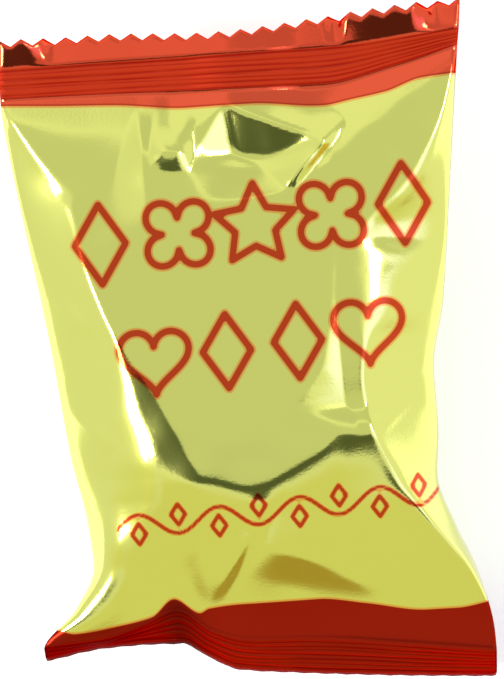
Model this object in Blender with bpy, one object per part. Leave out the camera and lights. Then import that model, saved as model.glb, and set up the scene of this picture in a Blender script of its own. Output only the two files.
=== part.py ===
"""Sealed flow-wrap pack for one folded biscuit, lying on its back.

One closed solid: a film tube flattened into a crimped, zigzag-cut seal at each end, stretched over the
biscuit inside, with the long back seal folded flat underneath, where the pack rests.

Lengths are millimetres until the mesh is written. X runs across the pack and Y along it, towards the
straighter seal. +Z is up, and the pack lies on Z = 0.
"""
import bmesh
import bpy
import numpy as np

MM = 0.001

# Film and seals
FILM_PAIR = 0.5          # thickness of the two films where they are welded together
RIB_BAND = 5.6           # crimped band of a seal, along the pack
PLAIN_STRIP = 3.3        # smooth strip outside the crimped band, up to the cut
RIBS = 4                 # crimp ribs in a band
RIB_HEIGHT = 0.24        # crest to groove
TEETH = 21               # zigzag teeth across the cut
TOOTH_DEPTH = 1.0
END_TURN = 0.7           # the end seal's smooth strip stands almost upright: its width in plan

# Biscuit under the film
PLATEAU_Z = 26.6         # top of the stretched panel
PLATEAU_TILT = 0.018     # the panel rises towards the end seal by this much per millimetre
PLATEAU_CROWN = 0.001    # and falls off sideways with the square of the distance
TOP_FALL = 0.06          # towards the top seal it falls by this much more
END_CROWN = 0.0033       # and towards the end seal with the square of the distance
END_CREST = -22.0        # down to here
TOP_SEAL_Z = 22.4
LEAST_BLEND = 0.8        # least roundness of the creases between its faces
BASE_ROUNDING = 6.0      # roundness of the ridge round the flat base
UNDER_ROUNDING = 3.6     # and of the ridges between the other faces below

# Back seal and base
BASE_Z = 0.45            # underside of the body, lifted by the folded back seal
BACK_SEAL_X = (-3.0, 8.0)
BACK_SEAL_END = 33.0     # it thins out this far along, towards the seals
BACK_SEAL_STEP = 0.3     # width of the step at its sides

# Grid
COLUMNS = 2 * TEETH
BODY_ROWS = 34
ROW_CROWDING = 0.35      # how far the body's rows gather towards the seals
SIDE_CROWDING = 0.5      # how far the columns gather at the rounded sides

NAME = "flow_wrap_pack"

# Outlines: (position, value) pairs that a smooth curve runs through
LEFT_SIDE = ((-46, -32.8), (-42.6, -32.6), (-37, -27.6), (-31, -24.7), (-25, -25.1), (-15, -26.9),
             (0, -28.6), (16, -30.9), (28, -32.6), (35, -33.3), (44, -32.7))
RIGHT_SIDE = ((-50, 32.5), (-44, 32.3), (-35, 30.3), (-28, 27.4), (-21, 25.3), (-14, 25.8), (-6, 25.6),
              (4, 27.5), (18, 29.1), (28, 30.2), (38, 31.3), (46, 32.2))
TOP_ROOT = ((-33, 35.9), (-16, 35.7), (2, 35.3), (12, 35.2), (23, 37.4), (32, 39.8))
TOP_BAND_EDGE = ((-33, 40.1), (2, 40.3), (16, 40.6), (32, 42.0))
# How far the top seal's band rises from its root, and how far that root sags
TOP_RISE = ((-33, 2.6), (-16, 2.7), (2, 2.9), (12, 3.0), (23, 2.6), (32, 1.6))
TOP_SINK = ((-14, 0.0), (-7, -0.3), (-1, -1.0), (4, -0.4), (10, 0.8), (16, 0.9), (24, 0.3), (33, 0.0))
# How far the top seal's cut curls up over its band
TOP_CURL = ((-33, 0.9), (-29.5, 1.2), (-27, 0.2), (-25.5, -1.3), (-22, -0.8), (-4, -0.6), (6, -0.6),
            (12.6, -0.5), (14.2, -1.5), (16, 0.6), (20, 1.1), (25, 1.2), (27, 0.0), (28.8, -1.9),
            (31, -0.6), (33, 0.2))
TOP_CUT = ((-33, 43.5), (-18, 43.6), (-3, 42.9), (14, 44.3), (32, 45.8))
END_ROOT = ((-33, -42.2), (-24, -41.6), (-18, -39.9), (-13.2, -38.0), (-8.2, -41.5), (-3, -43.1),
            (6, -43.6), (20, -45.3), (32, -47.0))
END_CUT = ((-33, -44.9), (-24, -43.5), (-13, -43.2), (-9, -45.6), (-5, -47.6), (4, -48.7), (18, -50.1),
           (32, -51.2))
# Height of the end seal's root
END_LEVEL = ((-33, 13.0), (-10, 13.0), (2, 12.2), (14, 10.8), (33, 10.2))
# Crease lines between the faces of the stretched film
LEFT_CREASE = ((-46, -18), (-28, -17), (-20.3, -16.8), (-11.6, -17.9), (-7.4, -18.2), (0.5, -19),
               (4.8, -20.6), (12.1, -22.9), (21.6, -24.9), (28.8, -29.5), (34.3, -32.6), (40, -34))
RIGHT_CREASE = ((-50, 33), (-38, 29), (-26, 21.5), (-13.8, 16.2), (-6.6, 15.2), (-1, 15.9), (2.3, 17.5),
                (4.6, 18.2), (8, 18.3), (11, 17.6), (13.2, 16.4), (14.8, 17.0), (19.2, 22.2),
                (22.6, 25), (29.4, 28.5), (35, 30.3), (42, 32))
END_CREASE = ((-33, -16), (-22, -17.5), (-15.2, -18.2), (-8.6, -19.8), (-3, -21.5), (0, -22.6),
              (4.1, -20.5), (12.1, -17.2), (16, -16.2), (20, -16.8), (24, -18), (33, -21))
# How gently each crease is rounded, in millimetres of height
LEFT_BLEND = ((-46, 0.8), (-38, 1.2), (-31, 4), (-28, 6), (-24, 4), (-19, 2.2), (-14, 1.7), (-6, 0.8),
              (0, 0.35), (8, 0.3), (20, 0.3), (22, 0.7), (25, 0.4), (35, 0.3))
RIGHT_BLEND = ((-50, 0.5), (-44, 1.0), (-40, 2.5), (-34, 4), (-22, 4), (-16, 1.0), (-13, 0.4),
               (-8, 0.3), (-2, 0.4), (3, 2.2), (9, 2.8), (12.5, 1.2), (14.5, 0.4), (18, 0.8), (24, 0.7),
               (30, 0.3), (35, 0.2))
END_BLEND = ((-33, 2), (-26, 3), (-20, 4), (-14, 0.8), (-9, 0.3), (0, 0.3), (10, 0.4), (16, 0.6),
             (22, 1.2), (33, 1.5))

# The corner of the panel that bends down: its inner edge on the left, and along the end
CORNER_EDGE = ((-40, -8), (-24, -8), (-19.1, -8.5), (-16.4, -9.8), (-10.6, -12.3), (-1.5, -17.2),
               (4, -22), (12, -32), (36, -50))
END_EDGE = ((-20, -19.5), (-9, -19.4), (-7.2, -19.6), (-2.3, -20.8), (0, -20.5), (4.2, -18.7),
            (8.6, -16.4), (12.4, -13.6), (16, -12.9), (20, -18), (24, -25), (33, -36))
CORNER_SLOPE = 0.18
# The channel on the right: its left edge, how far the film steps down there, and over what width
CHANNEL_EDGE = ((-20, 16), (-12.2, 13.8), (-9.3, 12.6), (-0.8, 12.2), (4.9, 12.2), (12, 12.8),
                (20, 13.5))
CHANNEL_DEPTH = ((-20, 0.0), (-15, 0.0), (-12.7, 0.45), (-10, 1.25), (-6, 1.0), (-2, 0.55), (4, 0.2),
                 (12, 0.05), (18, 0.0))
CHANNEL_WIDTH = ((-30, 3.0), (-14, 3.0), (-12, 5.5), (-10, 7.5), (-7.5, 5.5), (-4, 2.8), (2, 1.4),
                 (12, 0.8), (18, 0.8))
CHANNEL_EXPONENT = 1.35

# The film below the top seal: steepness off the seal, and the walls of the dent below it
TOP_STEEPNESS = ((-33, 0.60), (-18, 0.55), (-12, 0.53), (-9.4, 0.44), (-7, 0.5), (-2, 0.56), (3, 0.50),
                 (10.3, 0.44), (14, 0.50), (18, 0.60), (33, 0.62))
TOP_BLEND = ((-33, 0.4), (-20, 1.5), (-12, 1.5), (-6, 0.4), (12, 0.3), (18, 1.0), (33, 0.5))
DENT_CREST = ((-5, 34.8), (-0.9, 32.8), (3, 31.05), (10.3, 28), (12, 26.5), (16, 22), (24, 14))
DENT_FAR_EDGE = ((-8, 19.5), (-0.8, 20.0), (4.7, 20.6), (12.5, 24.6), (19.5, 27.6), (24.5, 32.1),
                 (30, 38))
DENT_NEAR_EDGE = ((17, -6.6), (25.5, -6.6), (27, -6.2), (29, -4.9), (31, -3.6), (33, -2.4), (35, -1.5))
DENT_NEAR_SLOPE = ((20, 0.16), (23.5, 0.18), (26.5, 0.37), (35, 0.37))
DENT_FAR_SLOPE = 0.42
DENT_CREST_SLOPE = 0.12
DENT_LOW_SLOPE = 0.08
DENT_LOW_EDGE = -10.0
LEAST_SIDE = 0.3         # least height of a side where it runs out into a seal
# The film above the end seal climbs gently this far, then steeper
END_FOOT = 4.5
END_FOOT_SLOPE = ((-33, 0.66), (-24, 0.62), (-17, 0.38), (0, 0.36), (12, 0.3), (33, 0.26))
# Folds: start, end, height, width to the left and to the right of the line, bend, lean, spread, softness
FOLDS = (
    ((-12.6, 27.4), (-6.7, 26.5), 1.5, 8.0, 3.1, 0.2, 1.0, 0.0, 1.15),
    ((-14.2, 32.8), (-12.6, 12.0), 1.15, 14.0, 5.2, 0.0, 0.6, 0.9, 1.6),
    ((14.6, 30.6), (6.0, 21.2), 1.85, 1.2, 12.0, 0.2, 1.0, 0.0, 1.0),
    ((-2.0, -27.2), (-10.4, -39.4), 0.52, 1.3, 4.5, 0.4, 0.8, 0.4, 1.15),
    ((-0.5, -29.8), (17.5, -39.6), 0.95, 10.0, 4.6, 1.2, 0.62, 0.0, 1.6),
    ((-17.0, -38.8), (-11.0, -34.4), 0.6, 3.0, 0.9, 0.3, 1.2, 0.0, 1.15),
    ((17.4, -14.0), (22.0, -10.4), 0.20, 1.2, 0.6, 0.1, 1.0, 0.0, 1.15),
    ((-27.5, 9.0), (-22.5, 2.0), 0.18, 1.5, 2.5, -0.4, 1.0, 0.0, 1.4),
    ((-26.5, -9.0), (-20.5, -14.5), 0.22, 1.6, 3.0, 0.5, 1.0, 0.0, 1.4),
    ((27.0, -3.0), (20.5, -7.0), 0.14, 1.6, 2.6, 0.4, 1.0, 0.0, 1.4),
    ((28.5, 16.0), (22.5, 9.0), 0.16, 1.8, 2.6, 0.5, 1.0, 0.0, 1.4),
)

# ---------------------------------------------------------------- printed ornament
STROKE = 0.49           # half the width of the wide line
THIN_STROKE = 0.27       # half the width of the thin line
HALO = 0.24
# Outlined motifs: kind, middle across and along, half width, half height
MOTIFS = (
    ("diamond", -20.4, 14.6, 3.6, 5.6), ("clover", -9.4, 15.4, 5.4, 5.4), ("star", 1.4, 16.0, 5.9, 5.9),
    ("clover", 12.2, 16.8, 5.4, 5.4), ("diamond", 22.4, 17.8, 3.6, 5.6),
    ("heart", -13.8, -2.2, 4.9, 4.9), ("diamond", -3.6, -1.4, 3.4, 5.2), ("diamond", 6.4, -0.6, 3.4, 5.2),
    ("heart", 16.4, 0.2, 4.9, 4.9),
)
WAVE_START, WAVE_STOP, WAVE_PITCH, WAVE_HEIGHT = -20.5, 25.1, 11.4, 3.2
WAVE_MIDDLE, WAVE_CLIMB = -24.4, 0.055
WAVE_DIAMOND = 1.5


def through(position, points):
    """A cubic between each two points that never swings past them: level at each peak and trough."""
    place, value = np.array(points, dtype=float).T
    chord = np.diff(value) / np.diff(place)
    before, after = chord[:-1], chord[1:]
    both = np.where(before * after > 0.0, before + after, 1.0)
    inner = np.where(before * after > 0.0, 2.0 * before * after / both, 0.0)
    slope = np.concatenate((chord[:1], inner, chord[-1:]))
    i = np.clip(np.searchsorted(place, position) - 1, 0, len(place) - 2)
    span = place[i + 1] - place[i]
    t = np.clip((position - place[i]) / span, 0.0, 1.0)
    ease = t * t * (3.0 - 2.0 * t)
    start_pull = t * (1.0 - t) ** 2 * span * slope[i]
    end_pull = t * t * (1.0 - t) * span * slope[i + 1]
    return value[i] * (1.0 - ease) + value[i + 1] * ease + start_pull - end_pull


def lower_of(a, b, blend):
    """The smaller of two heights, rounded where they are closer than blend."""
    near = np.maximum(blend - np.abs(a - b), 0.0) / blend
    return np.minimum(a, b) - near * near * blend / 4.0


def rise(distance, steepness, roundness):
    """Height of film that leaves an edge upright, bends over within roundness, then runs straight."""
    run = steepness * np.maximum(distance, 0.0)
    return np.sqrt(run * run + 2.0 * roundness * run)


def foot(distance, first, then, at, blend):
    """Height of film that climbs gently, then steeper past a distance, with a rounded bend there."""
    bend = 0.5 * (distance - at + np.hypot(distance - at, blend))
    start = 0.5 * (np.hypot(at, blend) - at)
    return first * distance + (then - first) * (bend - start)


def smooth_step(low, high, value):
    """0 below low, 1 above high, with an S-shaped ramp between."""
    t = np.clip((value - low) / (high - low), 0.0, 1.0)
    return t * t * (3.0 - 2.0 * t)


def hinge(value, blend):
    """0 below zero and the value above it, with a rounded bend."""
    return 0.5 * (value + np.hypot(value, blend))


def fold(x, y, start, end, height, left, right, bend, lean, spread, softness):
    """A tent of film: a bent crest line that swells to one side of its middle, with a flank each side that
    widens by spread towards the line's end."""
    (ax, ay), (bx, by) = start, end
    length = np.hypot(bx - ax, by - ay)
    ux, uy = (bx - ax) / length, (by - ay) / length
    t = np.clip(((x - ax) * ux + (y - ay) * uy) / length, 0.0, 1.0)
    across = (y - ay) * ux - (x - ax) * uy - bend * 4.0 * t * (1.0 - t)
    widen = np.maximum(1.0 + spread * (2.0 * t - 1.0), 0.1)
    q = np.where(across > 0.0, across / left, -across / right) / widen
    q = np.hypot(q, 0.08) - 0.08
    return height * np.sin(np.pi * t ** lean) ** 0.8 * np.clip(1.0 - q, 0.0, 1.0) ** softness


def row_layout():
    """Rows from the end cut to the top cut: (region, share of that region) for each."""
    rib_rows = [k / (2 * RIBS) for k in range(2 * RIBS + 1)]
    strip_rows = [0.35, 0.7, 0.93, 1.0]
    rows = [("end_strip", s) for s in reversed(strip_rows)]
    rows += [("end_band", s) for s in reversed(rib_rows)]
    for k in range(1, BODY_ROWS + 1):
        even = k / (BODY_ROWS + 1)
        crowded = 0.5 - 0.5 * np.cos(np.pi * even)
        rows.append(("body", even + (crowded - even) * ROW_CROWDING))
    rows += [("top_band", s) for s in rib_rows]
    rows += [("top_strip", s) for s in strip_rows]
    return rows


def seal_levels(x):
    """Heights of the seals' roots, band edges and cuts, from each part's true width and width in plan."""
    band = through(x, TOP_BAND_EDGE) - through(x, TOP_ROOT)
    lift = np.sqrt(np.maximum(RIB_BAND ** 2 - band ** 2, 0.0))
    top_root = TOP_SEAL_Z - through(x, TOP_SINK)
    top_edge = top_root + through(x, TOP_RISE)
    top_cut = top_edge + through(x, TOP_CURL)
    drop = through(x, END_ROOT) - through(x, END_CUT) - END_TURN
    fall = np.sqrt(np.maximum(RIB_BAND ** 2 - drop ** 2, 0.0))
    end_root = through(x, END_LEVEL) + 1.4 * np.exp(-((x + 13.2) / 4.0) ** 2)
    end_edge = end_root - fall
    end_cut = end_edge - np.sqrt(PLAIN_STRIP ** 2 - END_TURN ** 2)
    return top_root, top_edge, top_cut, end_root, end_edge, end_cut


def middle_line(region, share, q):
    """Across, along and height of the sheet halfway between the two films, for one row."""
    gather = SIDE_CROWDING * np.sqrt(np.sin(np.pi * share)) if region == "body" else 0.0
    even = 2.0 * q - 1.0
    s = (1.0 - gather) * even + gather * np.sin(0.5 * np.pi * even)
    guess = 33.0 * even
    y = region_y(region, share, guess)
    left, right = through(y, LEFT_SIDE), through(y, RIGHT_SIDE)
    x = 0.5 * (left + right) + 0.5 * (right - left) * s
    y = region_y(region, share, x)
    top_root, top_edge, top_cut, end_root, end_edge, end_cut = seal_levels(x)
    ends = {
        "top_strip": (top_edge, top_cut),
        "top_band": (top_root, top_edge),
        "body": (end_root, top_root),
        "end_band": (end_root, end_edge),
        "end_strip": (end_edge, end_cut),
    }
    low, high = ends[region]
    z = low + (high - low) * share
    return x, y, z


def region_y(region, share, x):
    """Place along the pack of a row, between the lines that bound its region."""
    top_root, end_root = through(x, TOP_ROOT), through(x, END_ROOT)
    top_edge, end_cut = through(x, TOP_BAND_EDGE), through(x, END_CUT)
    end_edge = end_cut + END_TURN
    ends = {
        "top_strip": (top_edge, through(x, TOP_CUT)),
        "top_band": (top_root, top_edge),
        "body": (end_root, top_root),
        "end_band": (end_root, end_edge),
        "end_strip": (end_edge, end_cut),
    }
    low, high = ends[region]
    return low + (high - low) * share


def dent(x, y, crest):
    """Depth of the dent under the top seal: the least of its four sloping walls."""
    far = DENT_FAR_SLOPE * (y - through(x, DENT_FAR_EDGE))
    near = through(y, DENT_NEAR_SLOPE) * (x - through(y, DENT_NEAR_EDGE))
    low = DENT_LOW_SLOPE * (y - DENT_LOW_EDGE)
    depth = lower_of(lower_of(far, low, 0.4), lower_of(near, crest, 0.5), 1.0)
    return hinge(depth, 0.15)


def panel_height(x, y, level):
    """Height of the front panel over the middle sheet: slightly crowned, falling towards the top seal,
    bent down at its lower left corner and along its end, with a channel on the right."""
    corner = 0.9 * (x - through(y, CORNER_EDGE))
    along_end = 0.95 * (y - through(x, END_EDGE))
    bent = CORNER_SLOPE * hinge(-lower_of(corner, along_end, 1.0), 0.4)
    share = np.clip((through(y, CHANNEL_EDGE) - x) / through(y, CHANNEL_WIDTH), 0.0, 1.0)
    channel = through(y, CHANNEL_DEPTH) * (1.0 - share) ** CHANNEL_EXPONENT
    crown = PLATEAU_CROWN * (x + 2.0) ** 2
    crown = crown + END_CROWN * hinge(-np.maximum(y, END_CREST), 1.0) ** 2
    fall = PLATEAU_TILT * y + TOP_FALL * hinge(y - 8.0, 10.0)
    return PLATEAU_Z - crown - fall - level - bent - channel


def front_height(x, y, level):
    """Height of the panel with its dent, and of the film that runs from it up to the top seal. The dent's
    far wall falls away from the crest line on that film."""
    steepness, root, crest = through(x, TOP_STEEPNESS), through(x, TOP_ROOT), through(x, DENT_CREST)
    wall = steepness * (root - crest) - DENT_CREST_SLOPE * (crest - y)
    panel = panel_height(x, y, level)
    return lower_of(steepness * (root - y), panel - dent(x, y, panel - wall), through(x, TOP_BLEND))


def flank(share, height):
    """Height of a side that leaves the edge upright and bends over: share 0 at the edge, 1 at the crease."""
    roundness = 0.22 * height
    run = (np.hypot(roundness, height) - roundness) * np.maximum(share, 0.0)
    return np.sqrt(run * run + 2.0 * roundness * run)


def upper_film(x, y, level):
    """Height of the upper film over the middle sheet: the lowest of the stretched faces, then the folds."""
    front = front_height(x, y, level)
    side, crease = through(y, LEFT_SIDE), through(y, LEFT_CREASE)
    share = (x - side) / np.maximum(crease - side, 0.5)
    left = flank(share, np.maximum(front_height(crease, y, level), LEAST_SIDE))
    side, crease = through(y, RIGHT_SIDE), through(y, RIGHT_CREASE)
    share = (side - x) / np.maximum(side - crease, 0.5)
    right = flank(share, np.maximum(front_height(crease, y, level), LEAST_SIDE))
    gentle = through(x, END_FOOT_SLOPE)
    root, near_x = through(x, END_ROOT), np.clip(x, -14.0, 16.0)
    run = through(x, END_CREASE) - root
    climb = front_height(near_x, through(near_x, END_CREASE), level) - gentle * run
    steeper = climb / foot(run, 0.0, 1.0, END_FOOT, 3.0)
    end = foot(y - root, gentle, gentle + steeper, END_FOOT, 3.0)
    height = lower_of(front, left, np.maximum(through(y, LEFT_BLEND), LEAST_BLEND))
    height = lower_of(height, right, np.maximum(through(y, RIGHT_BLEND), LEAST_BLEND))
    near_end = 0.05 + 0.95 * smooth_step(5.0, -12.0, y)
    height = lower_of(height, end, np.maximum(through(x, END_BLEND) * near_end, LEAST_BLEND))
    folds = sum(fold(x, y, *row) for row in FOLDS)
    return np.maximum(height + folds * smooth_step(0.5, 4.0, height), 0.0)


def lower_film(x, y, level):
    """Depth of the lower film under the middle sheet: the same kind of faces, cut off by the flat base."""
    left = rise(x - through(y, LEFT_SIDE), 1.15, 3.0)
    right = rise(through(y, RIGHT_SIDE) - x, 1.15, 3.0)
    top = rise(through(x, TOP_ROOT) - y, 0.85, 1.3)
    end = rise(y - through(x, END_ROOT), 0.8, 1.0)
    across = lower_of(left, right, UNDER_ROUNDING)
    depth = lower_of(across, lower_of(top, end, UNDER_ROUNDING), UNDER_ROUNDING)
    return lower_of(depth, level - BASE_Z, BASE_ROUNDING)


def back_seal(x, y):
    """Share of the folded back seal's thickness: 1 on the flap, 0 beside it, and fading at its ends."""
    start, stop = BACK_SEAL_X
    tolerance = 1e-6
    inside = (x > start - tolerance) & (x < stop + tolerance)
    along = 1.0 - smooth_step(BACK_SEAL_END, BACK_SEAL_END + 3.0, np.abs(y))
    return inside * along


def line_up_columns(x, q, weight):
    """Moves the columns next to the back seal onto the two edges of its step."""
    start, stop = BACK_SEAL_X
    edges = (start - BACK_SEAL_STEP, start, stop, stop + BACK_SEAL_STEP)
    fixed = [0]
    values = [x[0]]
    for first, pair in ((0, edges[:2]), (2, edges[2:])):
        column = int(np.argmin(np.abs(x - np.mean(pair))))
        fixed += [column, column + 1]
        values += list(pair)
    fixed += [COLUMNS]
    values += [x[-1]]
    lined = np.interp(q, q[fixed], values)
    return x + (lined - x) * weight


def film_row(region, share, q, side):
    """One row of one film: side +1 is the upper film, -1 the lower one."""
    x, y, z = middle_line(region, share, q)
    if region == "body":
        if side < 0:
            x = line_up_columns(x, q, float(smooth_step(0.0, 0.12, min(share, 1.0 - share))))
        gap = upper_film(x, y, z) if side > 0 else lower_film(x, y, z)
        edge = np.minimum(np.minimum(q, 1.0 - q) * COLUMNS, 1.0)
        welded = 0.5 * FILM_PAIR * edge
        z = z + side * np.maximum(gap, welded)
        if side < 0:
            z = z - BASE_Z * back_seal(x, y)
        return x, y, z
    return sealed_row(region, share, q, side, x, y, z)


def sealed_row(region, share, q, side, x, y, z):
    """A row of a seal: thin, ribbed across its own slope, and cut to teeth at its end."""
    step = 0.02
    _, y_on, z_on = middle_line(region, share - step, q)
    along = np.stack((y - y_on, z - z_on)) / step
    unit = along / np.hypot(*along)
    if region.endswith("band"):
        lift = 0.5 * RIB_HEIGHT * -np.cos(2.0 * np.pi * share * RIBS)
        lift = lift if 0.0 < share < 1.0 else 0.0
    else:
        lift = 0.0
    at_cut = region.endswith("strip") and share == 1.0
    edge = np.minimum(np.minimum(q, 1.0 - q) * COLUMNS, 1.0)
    half = 0.0 if at_cut else 0.5 * FILM_PAIR
    wave = np.abs((q * TEETH) % 1.0 - 0.5) - 0.25
    tooth = 2.0 * TOOTH_DEPTH * wave if at_cut else 0.0
    outward = 1.0 if region.startswith("top") else -1.0
    offset = (side * half + lift) * edge
    y_new = y + unit[0] * tooth - unit[1] * offset * outward
    z_new = z + unit[1] * tooth + np.abs(unit[0]) * offset
    return x, y_new, z_new


def film_points(side):
    q = np.linspace(0.0, 1.0, COLUMNS + 1)
    rows = [np.stack(film_row(region, share, q, side), axis=-1) for region, share in row_layout()]
    return np.array(rows)


def closed_mesh(name):
    """Two grids, one for each film, joined where they meet at the sides and the cuts."""
    upper, lower = film_points(+1), film_points(-1)
    for edge in (np.s_[0], np.s_[-1], np.s_[:, 0], np.s_[:, -1]):
        lower[edge] = upper[edge]
    everything = np.concatenate((upper.reshape(-1, 3), lower.reshape(-1, 3)))
    low, high = everything.min(axis=0), everything.max(axis=0)
    middle = 0.5 * (low + high)
    middle[2] = low[2]
    bm = bmesh.new()
    for side, points in ((+1, upper), (-1, lower)):
        rows, columns = points.shape[:2]
        made = bmesh.ops.create_grid(bm, x_segments=columns - 1, y_segments=rows - 1, size=0.5)
        places = ((points - middle) * MM).reshape(-1, 3)
        for vertex, place in zip(made["verts"], places):
            vertex.co = place
        faces = {face for vertex in made["verts"] for face in vertex.link_faces}
        if side < 0:
            bmesh.ops.reverse_faces(bm, faces=list(faces))
    bmesh.ops.remove_doubles(bm, verts=bm.verts, dist=1e-6)
    bmesh.ops.triangulate(bm, faces=bm.faces)
    mesh = bpy.data.meshes.new(name)
    bm.to_mesh(mesh)
    bm.free()
    return mesh


def film_material():
    material = bpy.data.materials.new("printed metal film")
    material.use_nodes = True
    shader = material.node_tree.nodes["Principled BSDF"]
    shader.inputs["Base Color"].default_value = (0.72, 0.74, 0.19, 1.0)
    shader.inputs["Metallic"].default_value = 1.0
    shader.inputs["Roughness"].default_value = 0.25
    return material


def main():
    for thing in list(bpy.data.objects):
        bpy.data.objects.remove(thing, do_unlink=True)
    collection = bpy.data.collections.new("biscuit_pack")
    bpy.context.scene.collection.children.link(collection)
    mesh = closed_mesh(NAME)
    mesh.shade_smooth()
    mesh.set_sharp_from_angle(angle=np.radians(40.0))
    mesh.materials.append(film_material())
    collection.objects.link(bpy.data.objects.new(NAME, mesh))


main()
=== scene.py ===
"""Looks of a sealed flow-wrap biscuit pack: printed metal film, back seal, studio."""

import bpy
import numpy as np
from bpy.props import FloatProperty, FloatVectorProperty, PointerProperty
from mathutils import Euler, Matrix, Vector


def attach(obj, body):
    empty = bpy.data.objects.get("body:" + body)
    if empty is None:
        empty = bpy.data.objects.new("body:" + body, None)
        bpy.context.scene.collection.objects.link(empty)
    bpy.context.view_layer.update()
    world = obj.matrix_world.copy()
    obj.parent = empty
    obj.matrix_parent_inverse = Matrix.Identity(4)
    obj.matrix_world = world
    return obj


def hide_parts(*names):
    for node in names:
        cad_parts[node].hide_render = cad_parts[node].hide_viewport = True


bl_info = {
    "name": "Flow-wrap biscuit pack",
    "version": (1, 0, 0),
    "blender": (4, 5, 0),
    "location": "View3D > Sidebar > Biscuit Pack",
    "description": "Makes the printed metal film of a sealed biscuit pack, and its studio",
    "category": "Add Mesh",
}

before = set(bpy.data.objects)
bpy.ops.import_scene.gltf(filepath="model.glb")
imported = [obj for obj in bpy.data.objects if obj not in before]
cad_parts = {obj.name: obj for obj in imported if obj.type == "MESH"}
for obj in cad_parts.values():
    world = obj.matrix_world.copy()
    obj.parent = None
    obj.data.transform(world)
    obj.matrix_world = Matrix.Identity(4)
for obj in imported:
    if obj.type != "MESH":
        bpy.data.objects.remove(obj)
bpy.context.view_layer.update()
PACK_NODE = "flow_wrap_pack"
BODY = "root"
MM = 0.001

# ---------------------------------------------------------------- sizes of the pack, in millimetres
HALF_WIDTH = 33.0        # rough half width, from which the place of each side is worked out
FILM_PAIR = 0.34         # two films welded together
RIB_BAND = 5.6           # crimped band of a seal
PLAIN_STRIP = 3.3        # smooth strip between the band and the cut
END_TURN = 0.7           # how far the end seal's strip, which stands almost upright, reaches along the pack
TEETH = 21
TOOTH_DEPTH = 1.0
TOOTH_REACH = 0.9        # how far from the cut the teeth fade out, as a share of the strip
THIN_CUT = 0.12          # share of the strip over which the films thin to the cut
# Grooves pressed in a crimped band: place across it, lean per metre of x, half width, depth, which also sets
# how dark their painted shade is
GROOVES = ((0.06, 0.0, 0.045, 0.9), (0.20, 1.6, 0.05, 0.8), (0.34, -0.6, 0.04, 0.6), (0.47, 1.2, 0.05, 0.9),
           (0.63, 0.4, 0.055, 0.8), (0.78, -0.8, 0.04, 0.6), (0.93, 0.6, 0.055, 1.0))
GROOVE_SWAY = 0.012      # how far each sways, as a share of the band
GROOVE_TURN = (90.0, 25.0)   # radians of sway per metre of x, and how many more for each next groove
GROOVE_START = 2.1       # how far on in its sway each next groove starts, in radians
GROOVE_FADE = 0.25       # how much each groove shallows in places
BAND_EDGE = 0.05         # share of the band over which the grooves run out at both its edges
TOP_RIB, END_RIB = 0.095, 0.2    # height of the ribs of the top seal and of the end seal

PLATEAU_Z = 26.6         # top of the front panel
PLATEAU_TILT = 0.018     # it falls this much per millimetre towards the top seal
PLATEAU_CROWN = 0.001    # and with the square of the distance to each side of its crown line
CROWN_LINE = -2.0        # place of that line across the pack
END_CROWN = 0.0033       # and with the square of the distance towards the end seal
END_CREST = -22.0        # down to here
TOP_SEAL_Z = 22.4        # height of the top seal's root
KINK_X, KINK_WIDTH, KINK_LIFT = -13.2, 4.0, 1.4     # where the end seal's root is pushed up
BASE_Z = 0.45            # the film's flat underside, over the back seal
BASE_ROUNDING = 6.0
# The faces of the underside: steepness and roundness at the two sides, the top seal and the end seal
UNDER_SIDE, UNDER_TOP, UNDER_END = (1.15, 3.0), (0.95, 2.0), (0.8, 1.0)
UNDER_BLEND = 3.0

# The back seal, folded flat under the pack
FLAP_X = (-3.0, 8.0)
FLAP_Y = (-33.0, 32.0)
FLAP_THINNING = 0.08     # share of its length over which it thins out
FLAP_RIBS = 9
FLAP_RIB = 0.08
FLAP_OVERLAP = 0.03      # how far it reaches into the film, so no gap shows
FLAP_COLUMNS = 72
FLAP_ROWS = 90

# Grid of the film
COLUMNS = 10 * TEETH
BAND_ROWS = 26
STRIP_ROWS = 8
BODY_ROWS = 164
SIDE_CROWDING = 0.4      # share by which the columns crowd towards both sides in mid-body
SLOPE_STEP = 0.02        # half the step over which the sheet's slope is taken

# Outlines: (position, value) pairs that a smooth curve runs through
LEFT_SIDE = ((-46, -32.8), (-42.6, -32.6), (-37, -27.6), (-31, -24.7), (-25, -25.1), (-15, -26.9),
             (0, -28.6), (16, -30.9), (28, -32.6), (35, -33.3), (44, -32.7))
RIGHT_SIDE = ((-50, 32.5), (-44, 32.3), (-35, 30.3), (-28, 27.4), (-21, 25.3), (-14, 25.8), (-6, 25.6),
              (4, 27.5), (18, 29.1), (28, 30.2), (38, 31.3), (46, 32.2))
TOP_ROOT = ((-33, 35.9), (-16, 35.7), (2, 35.3), (12, 35.2), (23, 37.4), (32, 39.8))
TOP_BAND_EDGE = ((-33, 40.1), (2, 40.3), (16, 40.6), (32, 42.0))
# How far the top seal's band rises from its root, and how far that root sags
TOP_RISE = ((-33, 2.6), (-16, 2.7), (2, 2.9), (12, 3.0), (23, 2.6), (32, 1.6))
TOP_SINK = ((-14, 0.0), (-7, -0.3), (-1, -1.0), (4, -0.4), (10, 0.8), (16, 0.9), (24, 0.3), (33, 0.0))
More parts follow.
